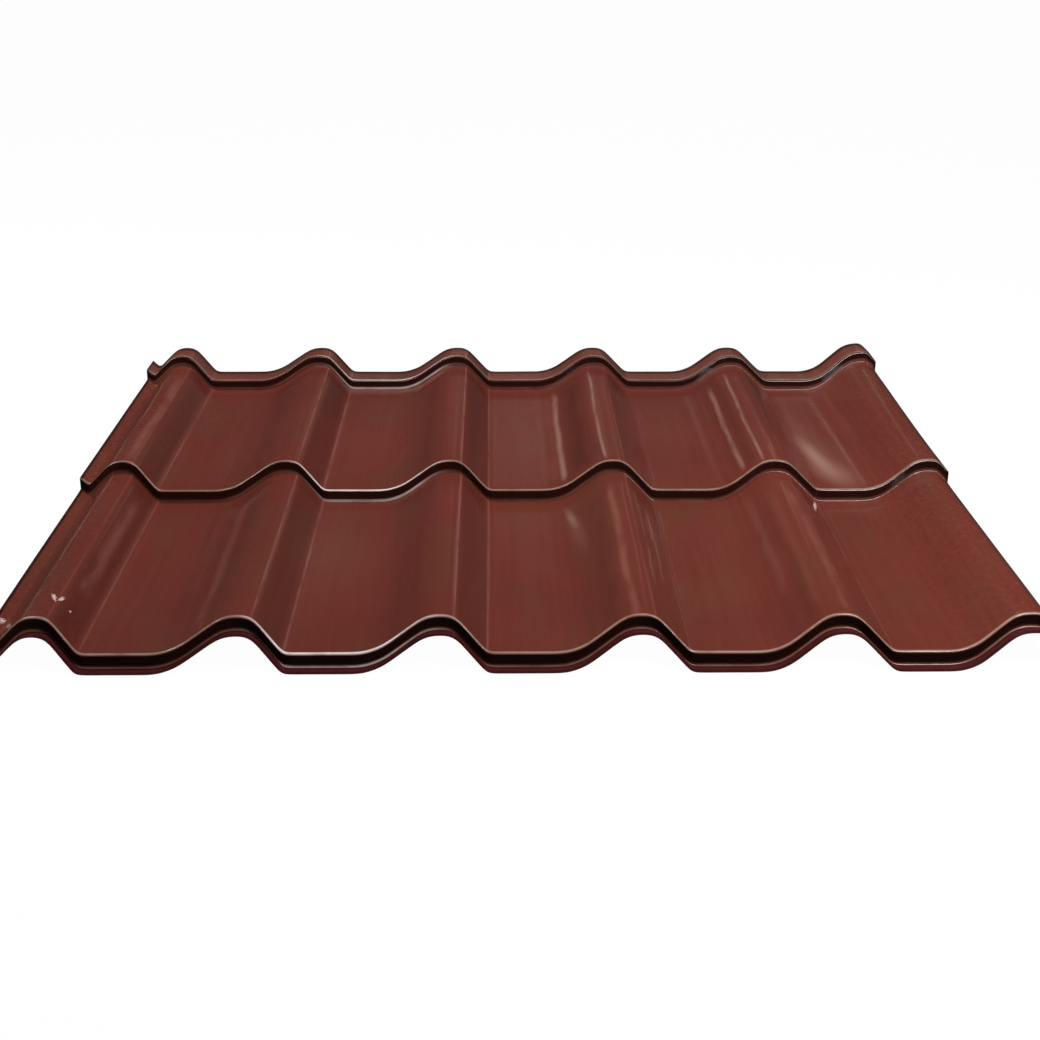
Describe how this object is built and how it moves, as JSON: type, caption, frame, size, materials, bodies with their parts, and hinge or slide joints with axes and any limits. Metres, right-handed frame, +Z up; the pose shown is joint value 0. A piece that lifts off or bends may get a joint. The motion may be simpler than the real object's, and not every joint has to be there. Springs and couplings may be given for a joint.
{
  "type": "tile-effect roofing sheet",
  "caption": "Coated steel roofing sheet pressed with tile courses: wave pans and crests across, stepped noses along, an upstand on one side and a lapping crest on the other.",
  "frame": {"origin": "middle of the footprint, on the ground under the sheet", "axes": "+X across the waves towards the lapping crest, +Y up the roof slope away from the front lip, +Z up"},
  "size_m": [1.1173, 0.888, 0.0518],
  "materials": {
    "coated_steel": "glossy red-brown plastic coating on steel sheet"
  },
  "bodies": {
    "root": {"roof_sheet": "coated_steel"}
  },
  "joints": []
}
